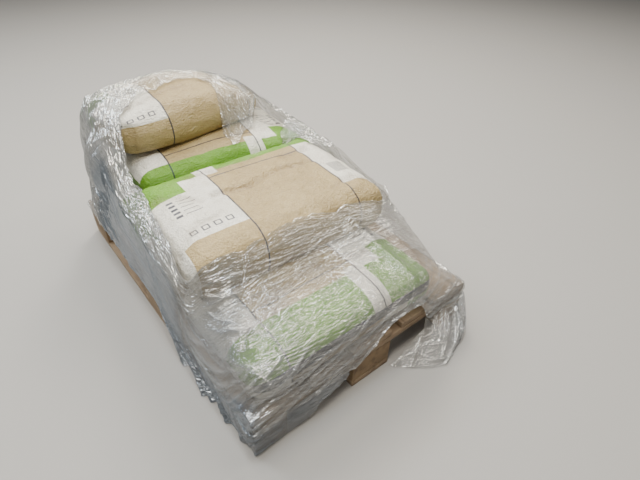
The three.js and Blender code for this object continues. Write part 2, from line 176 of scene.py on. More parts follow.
def mix_colours(tree, factor, first, second, blend="MIX"):
    """The first colour, blended with the second by the factor."""
    mix = tree.nodes.new("ShaderNodeMix")
    mix.data_type = "RGBA"
    mix.blend_type = blend
    for socket, value in ((mix.inputs[0], factor), (mix.inputs[6], first), (mix.inputs[7], second)):
        if isinstance(value, bpy.types.NodeSocket):
            tree.links.new(value, socket)
        elif isinstance(value, tuple):
            socket.default_value = (*value, 1)
        else:
            socket.default_value = value
    return mix.outputs[2]


def math_node(tree, operation, *values, clamp=False):
    node = tree.nodes.new("ShaderNodeMath")
    node.operation = operation
    node.use_clamp = clamp
    for socket, value in zip(node.inputs, values):
        if isinstance(value, bpy.types.NodeSocket):
            tree.links.new(value, socket)
        else:
            socket.default_value = value
    return node.outputs[0]


def add_up(tree, *values):
    total = values[0]
    for value in values[1:]:
        total = math_node(tree, "ADD", total, value)
    return total


def multiply(tree, *values):
    product = values[0]
    for value in values[1:]:
        product = math_node(tree, "MULTIPLY", product, value)
    return product


def raise_relief(tree, shader, height, strength, distance):
    """Lets the surface look raised by the height, as far as the distance in metres."""
    bump = add_node(tree, "ShaderNodeBump", Strength=strength, Distance=distance)
    tree.links.new(height, bump.inputs["Height"])
    tree.links.new(bump.outputs["Normal"], shader.inputs["Normal"])


def wood_material(name, along, pale, dark):
    """Sawn wood whose grain runs along one axis: long rings and fibres, and stains across them."""
    material, tree, shader = new_material(name, 0.8)
    place = add_node(tree, "ShaderNodeTexCoord").outputs["Object"]
    ring_scale = tuple(1.3 if axis == along else 26.0 for axis in "XYZ")
    fibre_scale = tuple(9.0 if axis == along else 420.0 for axis in "XYZ")
    ring_place = stretched(tree, place, ring_scale)
    rings = noise_texture(tree, ring_place, 1.0, detail=6.0, roughness=0.62, distortion=0.5)
    fibres = noise_texture(tree, stretched(tree, place, fibre_scale), 1.0, detail=3.0)
    stains = noise_texture(tree, place, 7.0, detail=5.0, roughness=0.6)
    palest = tuple(1.15 * part for part in pale)
    ring_tone = tone_of(tree, rings, [(0.28, dark), (0.5, pale), (0.72, palest)])
    stain_tone = tone_of(tree, stains, [(0.35, (0.5, 0.47, 0.44)), (0.6, (1, 1, 1))])
    fibre_tone = tone_of(tree, fibres, [(0.3, (0.72, 0.7, 0.68)), (0.7, (1.05, 1.05, 1.05))])
    stained = mix_colours(tree, 0.75, ring_tone, stain_tone, "MULTIPLY")
    coloured = mix_colours(tree, 0.8, stained, fibre_tone, "MULTIPLY")
    tree.links.new(coloured, shader.inputs["Base Color"])
    height = add_up(tree, rings, multiply(tree, fibres, 0.5))
    raise_relief(tree, shader, height, strength=0.5, distance=0.0015)
    return material


lengthwise_wood = wood_material("sawn_board_lengthwise", "X", board_pale, board_dark)
crosswise_wood = wood_material("sawn_board_crosswise", "Y", board_pale, board_dark)
block_wood = wood_material("sawn_block", "X", block_pale, block_dark)
# The kinds of boards, by how their nodes' names start: which way their grain runs, and their wood
board_kinds = {
    "bottom_board": {"grain": "X", "wood": lengthwise_wood, "slot": "pallet_wood"},
    "deck_board": {"grain": "X", "wood": lengthwise_wood, "slot": "pallet_wood"},
    "cross_board": {"grain": "Y", "wood": crosswise_wood, "slot": "pallet_wood"},
    "block": {"grain": "X", "wood": block_wood, "slot": "pallet_block_wood"},
}


def activate(piece):
    """Selects one piece alone, for the operators that follow."""
    bpy.ops.object.select_all(action="DESELECT")
    piece.select_set(True)
    bpy.context.view_layer.objects.active = piece


def finish_piece(piece):
    """Puts a piece's place into its mesh, so that its object sits at the origin."""
    activate(piece)
    bpy.ops.object.transform_apply(location=True, rotation=True, scale=True)
    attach(piece, "root")


def saw_board(node, kind, seed):
    """Saws a board or block to its node's size, with worn arrises and small waves along its faces."""
    low, high = (Vector(corner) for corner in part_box(node))
    size = high - low
    bpy.ops.object.select_all(action="DESELECT")
    bpy.ops.mesh.primitive_cube_add(size=1, location=(low + high) / 2, scale=size)
    board = bpy.context.object
    board.name = f"{node}_sawn"
    activate(board)
    bpy.ops.object.transform_apply(location=True, rotation=True, scale=True)
    axis = "XYZ".index(kind["grain"])
    direction = Vector([1.0 if index == axis else 0.0 for index in range(3)])
    bpy.ops.object.mode_set(mode="EDIT")
    bpy.ops.mesh.select_all(action="SELECT")
    bpy.ops.mesh.bevel(offset=arris_radius, segments=2, affect="EDGES")
    cuts = max(1, round(size[axis] / saw_cut_length))
    for cut in range(1, cuts):
        bpy.ops.mesh.select_all(action="SELECT")
        bpy.ops.mesh.bisect(plane_co=low + direction * (size[axis] * cut / cuts), plane_no=direction)
    bpy.ops.mesh.select_all(action="SELECT")
    bpy.ops.transform.vertex_random(offset=saw_wander, uniform=0.0, normal=0.0, seed=seed)
    bpy.ops.object.mode_set(mode="OBJECT")
    bpy.ops.object.shade_smooth_by_angle(angle=math.radians(35))
    board.data.materials.append(kind["wood"])
    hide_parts(node)
    finish_piece(board)
    return board


board_objects = []
for seed, node in enumerate(sorted(nodes)):
    for name_start, kind in board_kinds.items():
        if node.startswith(name_start):
            board_objects.append(saw_board(node, kind, seed))


# Nail heads in the deck
# Galvanised ring nails, driven through each deck board and the cross board under it into the block.
# Their flat heads end almost flush with the wood, and have begun to rust.
nail_head_radius = 0.0045
nail_head_height = 0.0016
nail_head_bevel = 0.0004
nail_head_sides = 14
nail_stands_proud = 0.0005
nail_from_edge = 0.026
nail_zigzag = (0.7, 0.3)
wide_board = 0.12
zinc_grey = (0.30, 0.30, 0.31)
rust_brown = (0.16, 0.07, 0.03)


def nail_steel():
    """Dull zinc with rust coming through in spots."""
    material, tree, shader = new_material("rusting_galvanised_steel", 0.45)
    place = add_node(tree, "ShaderNodeTexCoord").outputs["Object"]
    spots = noise_texture(tree, place, 600.0, detail=4.0, roughness=0.65)
    tone = tone_of(tree, spots, [(0.42, zinc_grey), (0.6, rust_brown)])
    tree.links.new(tone, shader.inputs["Base Color"])
    shader.inputs["Metallic"].default_value = 0.7
    raise_relief(tree, shader, spots, strength=0.4, distance=0.0003)
    return material


def nail_places():
    """Where each nail goes: two or three across a deck board, in a zigzag over the cross board."""
    places = []
    for deck in sorted(node for node in nodes if node.startswith("deck_board")):
        for cross in sorted(node for node in nodes if node.startswith("cross_board")):
            low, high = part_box(deck)
            left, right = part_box(cross)[0][0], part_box(cross)[1][0]
            count = 3 if high[1] - low[1] > wide_board else 2
            for number in range(count):
                share = number / (count - 1)
                y = low[1] + nail_from_edge + share * (high[1] - low[1] - 2 * nail_from_edge)
                places.append((left + nail_zigzag[number % 2] * (right - left), y, high[2]))
    return places


bpy.ops.object.select_all(action="DESELECT")
bpy.ops.mesh.primitive_cylinder_add(
    vertices=nail_head_sides, radius=nail_head_radius, depth=nail_head_height,
    location=(0, 0, nail_stands_proud - nail_head_height / 2),
)
first_head = bpy.context.object
bpy.ops.object.transform_apply(location=True, rotation=True, scale=True)
bpy.ops.object.mode_set(mode="EDIT")
bpy.ops.mesh.select_all(action="SELECT")
bpy.ops.mesh.bevel(offset=nail_head_bevel, segments=1, affect="EDGES")
bpy.ops.object.mode_set(mode="OBJECT")
nail_heads = []
for place in nail_places():
    head = first_head.copy()
    head.data = first_head.data.copy()
    head.location = place
    bpy.context.scene.collection.objects.link(head)
    nail_heads.append(head)
bpy.data.objects.remove(first_head)
bpy.ops.object.select_all(action="DESELECT")
for head in nail_heads:
    head.select_set(True)
bpy.context.view_layer.objects.active = nail_heads[0]
bpy.ops.object.join()
deck_nails = bpy.context.object
deck_nails.name = "deck_nail_heads"
deck_nails.data.materials.append(nail_steel())
finish_piece(deck_nails)


# Filled paper sacks
# Three-ply valve sacks of cream and beige printed paper, pasted square at both ends and blown full
# of 35 kg of powder. They lie across the pallet, slump onto what is under them, and have soft
# crowned faces, folded end corners, gathers at the ends and creases with brown dust in them.
# How the paper is meshed and swelled, and its waves, crumples and gathers, in metres
voxel_size = 0.009
cloth_frames = 16
cloth_reach = 0.006
paper_wave = {"height": 0.0045, "per_metre": 4.5}
paper_crumple = {"height": 0.0026, "per_metre": 17.0}
end_gather = {"height": 0.0022, "per_metre": 30.0, "length": 0.075}
crease_wander = {"width": 0.012, "per_metre": 22}
crease_puckers_per_metre = 45
sack_edge_radius = 0.05
sack_crown = 0.02

# Turn of each sack from square in degrees, with its print, and how far round it the print slipped
sacks = [
    {"node": "sack_lower_front", "turn": 180.0, "slip": 0.035, "seed": 3},
    {"node": "sack_lower_middle", "turn": 0.0, "slip": 0.0, "seed": 5},
    {"node": "sack_lower_back", "turn": 180.0, "slip": 0.0, "seed": 7},
    {"node": "sack_middle_front", "turn": -2.0, "slip": -0.05, "seed": 11},
    {"node": "sack_middle_back", "turn": 177.0, "slip": -0.055, "seed": 13},
    {"node": "sack_top", "turn": 5.0, "slip": 0.0, "seed": 17},
]

# Creases on the upper face, as (along, across) points in shares of the half length and half width,
# with their depth and width in metres
sack_creases = {
    "sack_middle_front": [
        {"line": [(-0.42, 0.1), (-0.1, 0.02), (0.3, 0.16), (0.62, 0.1)], "depth": 0.011, "width": 0.014},
        {"line": [(-0.98, 0.55), (-0.7, 0.3), (-0.55, 0.05)], "depth": 0.004, "width": 0.012},
        {"line": [(-0.98, -0.6), (-0.75, -0.35), (-0.5, -0.3)], "depth": 0.004, "width": 0.01},
        {"line": [(0.98, 0.7), (0.7, 0.45), (0.45, 0.42)], "depth": 0.005, "width": 0.014},
        {"line": [(0.98, -0.75), (0.8, -0.5), (0.5, -0.62)], "depth": 0.004, "width": 0.012},
        {"line": [(-0.5, 0.72), (-0.1, 0.6), (0.25, 0.7)], "depth": 0.004, "width": 0.018},
    ],
    "sack_middle_back": [
        {"line": [(-0.5, -0.2), (0.0, -0.1), (0.5, -0.24)], "depth": 0.004, "width": 0.014},
        {"line": [(-0.98, 0.5), (-0.72, 0.3), (-0.6, 0.05)], "depth": 0.005, "width": 0.014},
        {"line": [(0.98, 0.4), (0.72, 0.3), (0.52, 0.5)], "depth": 0.005, "width": 0.014},
    ],
    "sack_top": [
        {"line": [(-0.98, 0.4), (-0.6, 0.25), (-0.3, 0.4)], "depth": 0.006, "width": 0.016},
        {"line": [(0.98, -0.4), (0.66, -0.3), (0.3, -0.42)], "depth": 0.006, "width": 0.016},
        {"line": [(0.98, 0.5), (0.6, 0.35), (0.2, 0.1)], "depth": 0.005, "width": 0.014},
        {"line": [(-0.9, -0.45), (-0.5, -0.5), (0.0, -0.42)], "depth": 0.004, "width": 0.014},
    ],
    "sack_lower_front": [
        {"line": [(-0.6, 0.1), (0.0, -0.05), (0.5, 0.12)], "depth": 0.005, "width": 0.016},
        {"line": [(0.98, 0.5), (0.7, 0.3), (0.5, 0.3)], "depth": 0.004, "width": 0.014},
    ],
}


def read_points(mesh):
    points = np.empty(len(mesh.vertices) * 3)
    mesh.vertices.foreach_get("co", points)
    return points.reshape(-1, 3)


def read_normals(mesh):
    normals = np.empty(len(mesh.vertices) * 3)
    mesh.vertex_normals.foreach_get("vector", normals)
    return normals.reshape(-1, 3)


def write_points(mesh, points):
    mesh.vertices.foreach_set("co", points.astype(np.float64).ravel())
    mesh.update()


def write_attribute(mesh, name, values):
    kind = "FLOAT" if values.ndim == 1 else "FLOAT_VECTOR"
    attribute = mesh.attributes.new(name, kind, "POINT")
    attribute.data.foreach_set("value" if kind == "FLOAT" else "vector", values.astype(np.float32).ravel())


def noise_at(points, per_metre, seed):
    """Smooth noise from -1 to 1 at each point, one seed for each piece."""
    shift = Vector((seed * 7.31, seed * 3.17, seed * 5.53))
    return np.array([noise.noise(Vector(point) * per_metre + shift) for point in points])


def distance_to_line(points, line):
    """Plan distance of each point to a line of straight stretches."""
    nearest = np.full(len(points), 1e9)
    for start, end in zip(line[:-1], line[1:]):
        start, end = np.array(start), np.array(end)
        stretch = end - start
        share = np.clip(((points - start) @ stretch) / (stretch @ stretch), 0, 1)
        nearest = np.minimum(nearest, np.linalg.norm(points - (start + share[:, None] * stretch), axis=1))
    return nearest


def sack_coordinates(points, centre, turn, width, thickness, base):
    """Each point's distance along the sack, its girth from the middle of the upper face round to
    the underside, and its height above the sack's base."""
    angle = math.radians(90 + turn)
    cos, sin = math.cos(angle), math.sin(angle)
    offset = points[:, :2] - centre
    along = offset[:, 0] * cos + offset[:, 1] * sin
    across = -offset[:, 0] * sin + offset[:, 1] * cos
    height = points[:, 2] - base
    radius = sack_edge_radius
    quarter = radius * math.pi / 2
    flat = width / 2 - radius
    on_flat = np.minimum(flat, np.abs(across))
    beyond = np.maximum(0, np.abs(across) - flat)
    shoulder = radius * np.arctan2(beyond, np.maximum(1e-4, height - (thickness - radius)))
    wall = quarter + (thickness - radius - height)
    foot = radius * np.arctan2(radius - height, np.maximum(1e-4, beyond))
    under = quarter + thickness - 2 * radius + foot + (flat - on_flat)
    below = np.where(height < radius, flat + under, flat + wall)
    girth = np.where(height >= thickness - radius, on_flat + shoulder, below)
    return along, across, np.sign(across) * girth, height


def swell_sack(sack_object):
    """Blows the paper up from inside, and keeps each point near where it was."""
    before = read_points(sack_object.data)
    normals = read_normals(sack_object.data)
    write_points(sack_object.data, before - 0.5 * cloth_reach * normals)
    activate(sack_object)
    cloth = sack_object.modifiers.new("powder", "CLOTH")
    cloth.settings.quality = 5
    cloth.settings.mass = 0.3
    cloth.settings.tension_stiffness = 25
    cloth.settings.compression_stiffness = 12
    cloth.settings.shear_stiffness = 8
    cloth.settings.bending_stiffness = 0.4
    cloth.settings.use_pressure = True
    cloth.settings.uniform_pressure_force = 4
    cloth.settings.effector_weights.gravity = 0
    for step in range(1, cloth_frames + 1):
        bpy.context.scene.frame_set(step)
    bpy.ops.object.modifier_apply(modifier=cloth.name)
    bpy.context.scene.frame_set(1)
    moved = read_points(sack_object.data) - before
    reach = np.linalg.norm(moved, axis=1, keepdims=True)
    write_points(sack_object.data, before + moved * np.minimum(1, cloth_reach / np.maximum(reach, 1e-9)))


def blow_up_sack(node):
    """A copy of the sack's solid with an even mesh, swelled by the powder in it."""
    mesh = nodes[node].data.copy()
    mesh.materials.clear()
    filled = bpy.data.objects.new(f"{node}_paper", mesh)
    bpy.context.scene.collection.objects.link(filled)
    activate(filled)
    bpy.ops.object.mode_set(mode="EDIT")
    bpy.ops.mesh.select_all(action="SELECT")
    bpy.ops.mesh.remove_doubles(threshold=0.00005)
    bpy.ops.object.mode_set(mode="OBJECT")
    mesh.remesh_voxel_size = voxel_size
    bpy.ops.object.voxel_remesh()
    relax = filled.modifiers.new("relax", "SMOOTH")
    relax.factor = 0.5
    relax.iterations = 6
    bpy.ops.object.modifier_apply(modifier=relax.name)
    swell_sack(filled)
    finer = filled.modifiers.new("finer", "SUBSURF")
    finer.levels = finer.render_levels = 1
    activate(filled)
    bpy.ops.object.modifier_apply(modifier=finer.name)
    return filled


def sack_size(node, turn):
    """Middle, length, width, height and underside of a sack that lies so many degrees from square."""
    low, high = (np.array(corner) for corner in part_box(node))
    size = high - low
    sine = abs(math.sin(math.radians(turn)))
    cosine = abs(math.cos(math.radians(turn)))
    length = (size[1] * cosine - size[0] * sine) / (cosine**2 - sine**2)
    width = (size[0] * cosine - size[1] * sine) / (cosine**2 - sine**2)
    return (low[:2] + high[:2]) / 2, length, width, size[2], low[2]


def crumple_paper(points, along, girth, from_end, seed):
    """How far the paper stands out in waves, small folds and the gathers at its ends."""
    waves = noise_at(points, paper_wave["per_metre"], seed)
    folds = 1 - np.abs(noise_at(points, paper_crumple["per_metre"], seed + 1))
    at_end = np.clip(1 - from_end / end_gather["length"], 0, 1) ** 0.7
    strands = np.column_stack([along * 4, girth * end_gather["per_metre"], along * 0])
    gathers = noise_at(strands, 1.0, seed + 2)
    lift = paper_wave["height"] * (waves - 0.3)
    lift += paper_crumple["height"] * (folds**3 - 0.6) * (0.35 + 0.65 * np.clip(waves + 0.4, 0, 1))
    return lift + end_gather["height"] * gathers * at_end


def crease_paper(points, plan, half_size, creases, seed):
    """How deep the creases press into the paper at each point, and how much dust lies there."""
    depth = np.zeros(len(points))
    dust = np.zeros(len(points))
    wander = crease_wander["width"] * noise_at(points, crease_wander["per_metre"], seed + 4)
    pucker = 0.5 + 0.5 * noise_at(points, crease_puckers_per_metre, seed + 5)
    for crease in creases:
        line = [(share[0] * half_size[0], share[1] * half_size[1]) for share in crease["line"]]
        away = np.abs(distance_to_line(plan, line) + wander) / crease["width"]
        depth += crease["depth"] * np.exp(-(away**2)) * (0.6 + 0.8 * pucker)
        dust = np.maximum(dust, np.exp(-((away / 1.1) ** 2)) * pucker)
    return depth, dust


def make_sack(sack):
    """One filled sack: its paper swelled, crumpled and creased, with each point's place in the print."""
    filled = blow_up_sack(sack["node"])
    mesh = filled.data
    points = read_points(mesh)
    normals = read_normals(mesh)
    centre, length, width, tall, base = sack_size(sack["node"], sack["turn"])
    along, across, girth, height = sack_coordinates(
        points, centre, sack["turn"], width, tall - sack_crown, base
    )
    lift = crumple_paper(points, along, girth, length / 2 - np.abs(along), sack["seed"])
    depth, dust = crease_paper(
        points, np.column_stack([along, across]), (length / 2, width / 2),
        sack_creases.get(sack["node"], []), sack["seed"],
    )
    facing_up = np.clip(normals[:, 2], 0, 1)
    write_points(mesh, points + normals * (lift - depth * facing_up)[:, None])
    write_attribute(mesh, "sack_place", np.column_stack([along, girth + sack["slip"], height]))
    write_attribute(mesh, "sack_dust", dust * facing_up)
    bpy.ops.object.shade_smooth()
    filled.data.materials.append(sack_material)
    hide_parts(sack["node"])
    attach(filled, "root")
    return filled


# The print: places along the sack from its middle, and round its girth from the middle of the upper
# face, in metres
everywhere = (-0.6, 0.6)
whole_length = (-0.31, 0.31)
panel_along = (-0.115, 0.215)
near_side = (-0.6, -0.19)
cross_rule_at = 0.062
keyline_width = 0.0046
stripe_girth = (0.105, 0.245)
dark_band_girth = (0.245, 0.28)
label_box = (-0.135, -0.07, 0.085, 0.26)
end_block_box = (-0.6, -0.2, 0.035, 0.6)
hatched_box = (0.235, 0.285, -0.13, -0.07)
hatch_lines_per_metre = 170
hatch_line_share = 0.45
square_marks = {"count": 4, "from": -0.275, "step": 0.036, "side": 0.022, "line": 0.004, "girth": -0.165}
bar_marks = {"count": 5, "from": -0.075, "step": 0.019, "left": -0.275, "right": -0.255, "height": 0.010}
thin_marks = {"left": -0.245, "right": -0.195, "shorter": 0.006, "from": 0.003, "to": 0.006}
paper_white = (0.82, 0.795, 0.72)
paper_beige = (0.43, 0.325, 0.155)
ink_green = (0.14, 0.33, 0.016)
ink_navy = (0.012, 0.016, 0.045)
ink_strength = 0.92
dust_brown = (0.16, 0.10, 0.055)
dust_strength = 0.85
smudge_strength = 0.22


def within(tree, value, low, high):
    """One where the value lies between the limits, and zero elsewhere."""
    return multiply(
        tree, math_node(tree, "GREATER_THAN", value, low), math_node(tree, "LESS_THAN", value, high)
    )


def print_box(tree, along, girth, box):
    """One inside a printed box, given by its ends along the sack and round its girth."""
    left, right, near, far = box
    return multiply(tree, within(tree, along, left, right), within(tree, girth, near, far))


def either(tree, masks):
    """One where any of the masks is one."""
    joined = masks[0]
    for mask in masks[1:]:
        joined = math_node(tree, "MAXIMUM", joined, mask)
    return joined


def small_print(tree, along, girth):
    """A row of square frames, and short bars with thin rows beside them."""
    marks = []
    line = square_marks["line"]
    for number in range(square_marks["count"]):
        left = square_marks["from"] + square_marks["step"] * number
        right = left + square_marks["side"]
        near = square_marks["girth"]
        far = near + square_marks["side"]
        outer = print_box(tree, along, girth, (left, right, near, far))
        inner = print_box(tree, along, girth, (left + line, right - line, near + line, far - line))
        marks.append(math_node(tree, "SUBTRACT", outer, inner))
    for number in range(bar_marks["count"]):
        near = bar_marks["from"] + bar_marks["step"] * number
        bar = (bar_marks["left"], bar_marks["right"], near, near + bar_marks["height"])
        row_end = thin_marks["right"] - thin_marks["shorter"] * (number % 3)
        row = (thin_marks["left"], row_end, near + thin_marks["from"], near + thin_marks["to"])
        marks += [print_box(tree, along, girth, bar), print_box(tree, along, girth, row)]
    return either(tree, marks)


def print_colours(tree, along, girth):
    """The printed colours: beige panel on white, a green stripe with a white label, navy rules."""
    panel_left, panel_right = panel_along
    panel = either(tree, [
        print_box(tree, along, girth, (*panel_along, *everywhere)),
        print_box(tree, along, girth, (*whole_length, *near_side)),
    ])
    rules = either(tree, [
        print_box(tree, along, girth, (panel_left, panel_left + keyline_width, *everywhere)),
        print_box(tree, along, girth, (panel_right - keyline_width, panel_right, *everywhere)),
        print_box(tree, along, girth, (*panel_along, cross_rule_at, cross_rule_at + keyline_width)),
    ])
    label = print_box(tree, along, girth, label_box)
    stripe = print_box(tree, along, girth, (*everywhere, *stripe_girth))
    stripe = multiply(tree, stripe, math_node(tree, "SUBTRACT", 1.0, label))
    green = either(tree, [stripe, print_box(tree, along, girth, end_block_box)])
    hatch_place = math_node(tree, "FRACT", multiply(tree, along, hatch_lines_per_metre))
    hatching = math_node(tree, "LESS_THAN", hatch_place, hatch_line_share)
    hatched = multiply(tree, print_box(tree, along, girth, hatched_box), hatching)
    dark_band = print_box(tree, along, girth, (*whole_length, *dark_band_girth))
    inked = either(tree, [rules, hatched, dark_band, small_print(tree, along, girth)])
    ground = mix_colours(tree, panel, paper_white, paper_beige)
    ground = mix_colours(tree, label, ground, paper_white)
    ground = mix_colours(tree, green, ground, ink_green)
    return mix_colours(tree, multiply(tree, inked, ink_strength), ground, ink_navy)


def printed_paper():
    """Printed kraft paper with blotches, grain and smudges, and brown dust in its creases."""
    material, tree, shader = new_material("printed_sack_paper", 0.4)
    place = add_node(tree, "ShaderNodeAttribute", attribute_name="sack_place").outputs["Vector"]
    wander = math_node(tree, "SUBTRACT", noise_texture(tree, place, 60.0), 0.5)
    wobble = multiply(tree, wander, 0.002)
    parts = add_node(tree, "ShaderNodeSeparateXYZ")
    tree.links.new(place, parts.inputs[0])
    along = add_up(tree, parts.outputs["X"], wobble)
    girth = add_up(tree, parts.outputs["Y"], wobble)
    ground = print_colours(tree, along, girth)

    blotches = noise_texture(tree, place, 9.0, detail=4.0, roughness=0.6)
    blotch_tone = tone_of(tree, blotches, [(0.3, (0.86, 0.84, 0.8)), (0.65, (1.04, 1.04, 1.03))])
    ground = mix_colours(tree, 0.9, ground, blotch_tone, "MULTIPLY")
    grains = noise_texture(tree, place, 240.0, detail=2.0, roughness=0.7)
    grain_tone = tone_of(tree, grains, [(0.34, (0.74, 0.72, 0.68)), (0.6, (1.1, 1.1, 1.1))])
    ground = mix_colours(tree, 0.8, ground, grain_tone, "MULTIPLY")
    dust = add_node(tree, "ShaderNodeAttribute", attribute_name="sack_dust").outputs["Fac"]
    speckle = math_node(tree, "SUBTRACT", noise_texture(tree, place, 330.0, detail=3.0), 0.3)
    speckled = math_node(tree, "MULTIPLY", speckle, 3.6, clamp=True)
    smudges = noise_texture(tree, place, 26.0, detail=6.0, roughness=0.72)
    smudge_mask = tone_of(tree, smudges, [(0.56, (0, 0, 0)), (0.72, (1, 1, 1))])
    creases = multiply(tree, dust, dust_strength, speckled)
    dirt = math_node(tree, "MAXIMUM", creases, multiply(tree, smudge_mask, smudge_strength))
    tree.links.new(mix_colours(tree, dirt, ground, dust_brown), shader.inputs["Base Color"])

    crackle = noise_texture(tree, place, 34.0, detail=4.0, roughness=0.6, distortion=0.8)
    wrinkle = math_node(tree, "ABSOLUTE", math_node(tree, "SUBTRACT", crackle, 0.5))
    powder = noise_texture(tree, place, 150.0, detail=2.0, roughness=0.6)
    fibres = noise_texture(tree, place, 900.0)
    height = add_up(
        tree, multiply(tree, wrinkle, 0.9), multiply(tree, powder, 0.3), multiply(tree, fibres, 0.03)
    )
    raise_relief(tree, shader, height, strength=1.0, distance=0.012)
    return material


sack_material = printed_paper()
sack_objects = {sack["node"]: make_sack(sack) for sack in sacks}


# Stretch film round the load
# Many turns of clear film, each 0.02 mm thick, wound on by hand and pulled tight over the sacks
# and the edge of the deck. It is torn open over the upper sacks. Its folds run the way it is
# pulled, it crumples where it is bunched, and where many turns lie on each other it goes hazy,
# with painted shade that darkens its colour to blue-grey there.
film_centre = np.array((-0.05, -0.03, 0.06))
film_clearance = 0.0016
film_rows = 180
# The pallet seen from above, and the places of its corners round the load from the back left one
half_length = 0.6
half_width = 0.4
corner_stations = (0.0, 1.2, 2.0, 3.2, 4.0)
perimeter = corner_stations[-1]
# Least angle between two columns of the film, and between two points of a column, in radians
column_step = 0.004
point_step = 0.0004
# The film is pulled tight twice, first over coarse rows. Each pull splits the columns so many times
# and lets the film give way so often.
coarse_rows = film_rows // 4 + 1
coarse_split = 3
fine_split = 4
coarse_pulls = 160
fine_pulls = 24
# Points traced along a column before its rows are spaced
coarse_trace = 200
fine_trace = 400


def wall_columns(node):
    """A CAD film sheet as columns in order of their direction from the film's centre: each is its
    azimuth with the outer points from the top down."""
    offsets = read_points(nodes[node].data) - film_centre
    distances = np.linalg.norm(offsets, axis=1)
    azimuths = np.arctan2(offsets[:, 1], offsets[:, 0])
    elevations = np.arcsin(offsets[:, 2] / distances)
    columns = []
    for index in np.argsort(azimuths):
        if not columns or azimuths[index] - columns[-1][0] > column_step:
            columns.append((azimuths[index], []))
        columns[-1][1].append(index)
    walls = []
    for azimuth, members in columns:
        members = sorted(members, key=lambda index: -elevations[index])
        outer = []
        for index in members:
            if outer and abs(elevations[index] - elevations[outer[-1]]) < point_step:
                if distances[index] > distances[outer[-1]]:
                    outer[-1] = index
            else:
                outer.append(index)
        walls.append((azimuth, offsets[outer] + film_centre))
    return walls


def curve_between(before, start, end, after, share):
    """The Catmull-Rom curve between two points, at a share of the way from start to end."""
    return 0.5 * (
        2 * start + (end - before) * share
        + (2 * before - 5 * start + 4 * end - after) * share**2
        + (3 * start - before - 3 * end + after) * share**3
    )


def even_rows(points, count):
    """So many points on the curve through a line of points, with equal shares of each step."""
    points = np.asarray(points)
    padded = np.vstack([2 * points[0] - points[1], points, 2 * points[-1] - points[-2]])
    places = np.linspace(0, len(points) - 1, count)
    cells = np.minimum(places.astype(int), len(points) - 2)
    neighbours = [padded[cells + step] for step in range(4)]
    return curve_between(*neighbours, (places - cells)[:, None])


film_walls = []
for side in ("left", "front", "right", "back"):
    film_walls += wall_columns(f"stretch_film_{side}")
film_walls.sort(key=lambda column: column[0])
cad_columns = []
for azimuth, points in film_walls:
    if not cad_columns or azimuth - cad_columns[-1][0] > column_step:
        cad_columns.append((azimuth, points))


def even_length(points, count):
    """The same line of points with equal steps along it."""
    steps = np.linalg.norm(np.diff(points, axis=0), axis=1)
    reached = np.concatenate([[0], np.cumsum(steps)])
    wanted = np.linspace(0, reached[-1], count)
    return np.column_stack([np.interp(wanted, reached, points[:, axis]) for axis in range(3)])


def finer_round(grid, times):
    """The same grid, curved between its columns round the load, with so many columns for each."""
    neighbours = [np.roll(grid, shift, axis=0) for shift in (1, 0, -1, -2)]
    finer = np.empty((len(grid) * times, *grid.shape[1:]))
    for step in range(times):
        finer[step::times] = curve_between(*neighbours, step / times)
    return finer


def surface_below(pieces):
    """The shown surface of several pieces, for finding what the film rests on."""
    corners, faces = [], []
    for piece in pieces:
        start = len(corners)
        corners += [tuple(vertex.co) for vertex in piece.data.vertices]
        faces += [[start + index for index in polygon.vertices] for polygon in piece.data.polygons]
    return BVHTree.FromPolygons(corners, faces)


def least_reach(grid, surface):
    """How far from the film's centre each point must lie to stay clear of what is under it."""
    far = 2.0
    core = 0.02
    flattest = 0.35
    centre = Vector(film_centre)
    reach = np.zeros(grid.shape[:2])
    offsets = grid - film_centre
    directions = offsets / np.linalg.norm(offsets, axis=2, keepdims=True)
    for column in range(grid.shape[0]):
        for row in range(grid.shape[1]):
            direction = Vector(directions[column, row])
            place, normal, _, distance = surface.ray_cast(centre + direction * far, -direction, far - core)
            if place is not None:
                slant = max(flattest, abs(normal.dot(direction)))
                reach[column, row] = far - distance + film_clearance / slant
    return reach


def pull_taut(grid, reach, rounds):
    """Pulls the film tight: each point gives way to its neighbours until it rests on something."""
    offsets = grid - film_centre
    distances = np.linalg.norm(offsets, axis=2, keepdims=True)
    directions = offsets / distances
    for _ in range(rounds):
        points = film_centre + directions * distances
        mean = (np.roll(points, 1, axis=0) + np.roll(points, -1, axis=0)) / 4
        mean[:, 1:-1] += (points[:, :-2] + points[:, 2:]) / 4
        wanted = ((mean - film_centre) * directions).sum(axis=2, keepdims=True)
        wanted[:, 0], wanted[:, -1] = distances[:, 0], distances[:, -1]
        distances = np.maximum(reach[..., None], 0.5 * distances + 0.5 * wanted)
    return film_centre + directions * distances


under_film = surface_below([*sack_objects.values(), *board_objects])
cad_grid = np.array([
    even_length(even_rows(points, coarse_trace), coarse_rows) for _, points in cad_columns
])
coarse = finer_round(cad_grid, coarse_split)
coarse = pull_taut(coarse, least_reach(coarse, under_film), coarse_pulls)
film_grid = finer_round(coarse, fine_split)

# Tongues of film that lap in over the hole: direction from the film's centre and half width in
# degrees, and length
film_laps = [
    {"azimuth": 152.0, "length": 0.15, "width": 11.0},
    {"azimuth": 96.0, "length": 0.05, "width": 16.0},
]
shortest_lap = 0.004
lap_points = 24


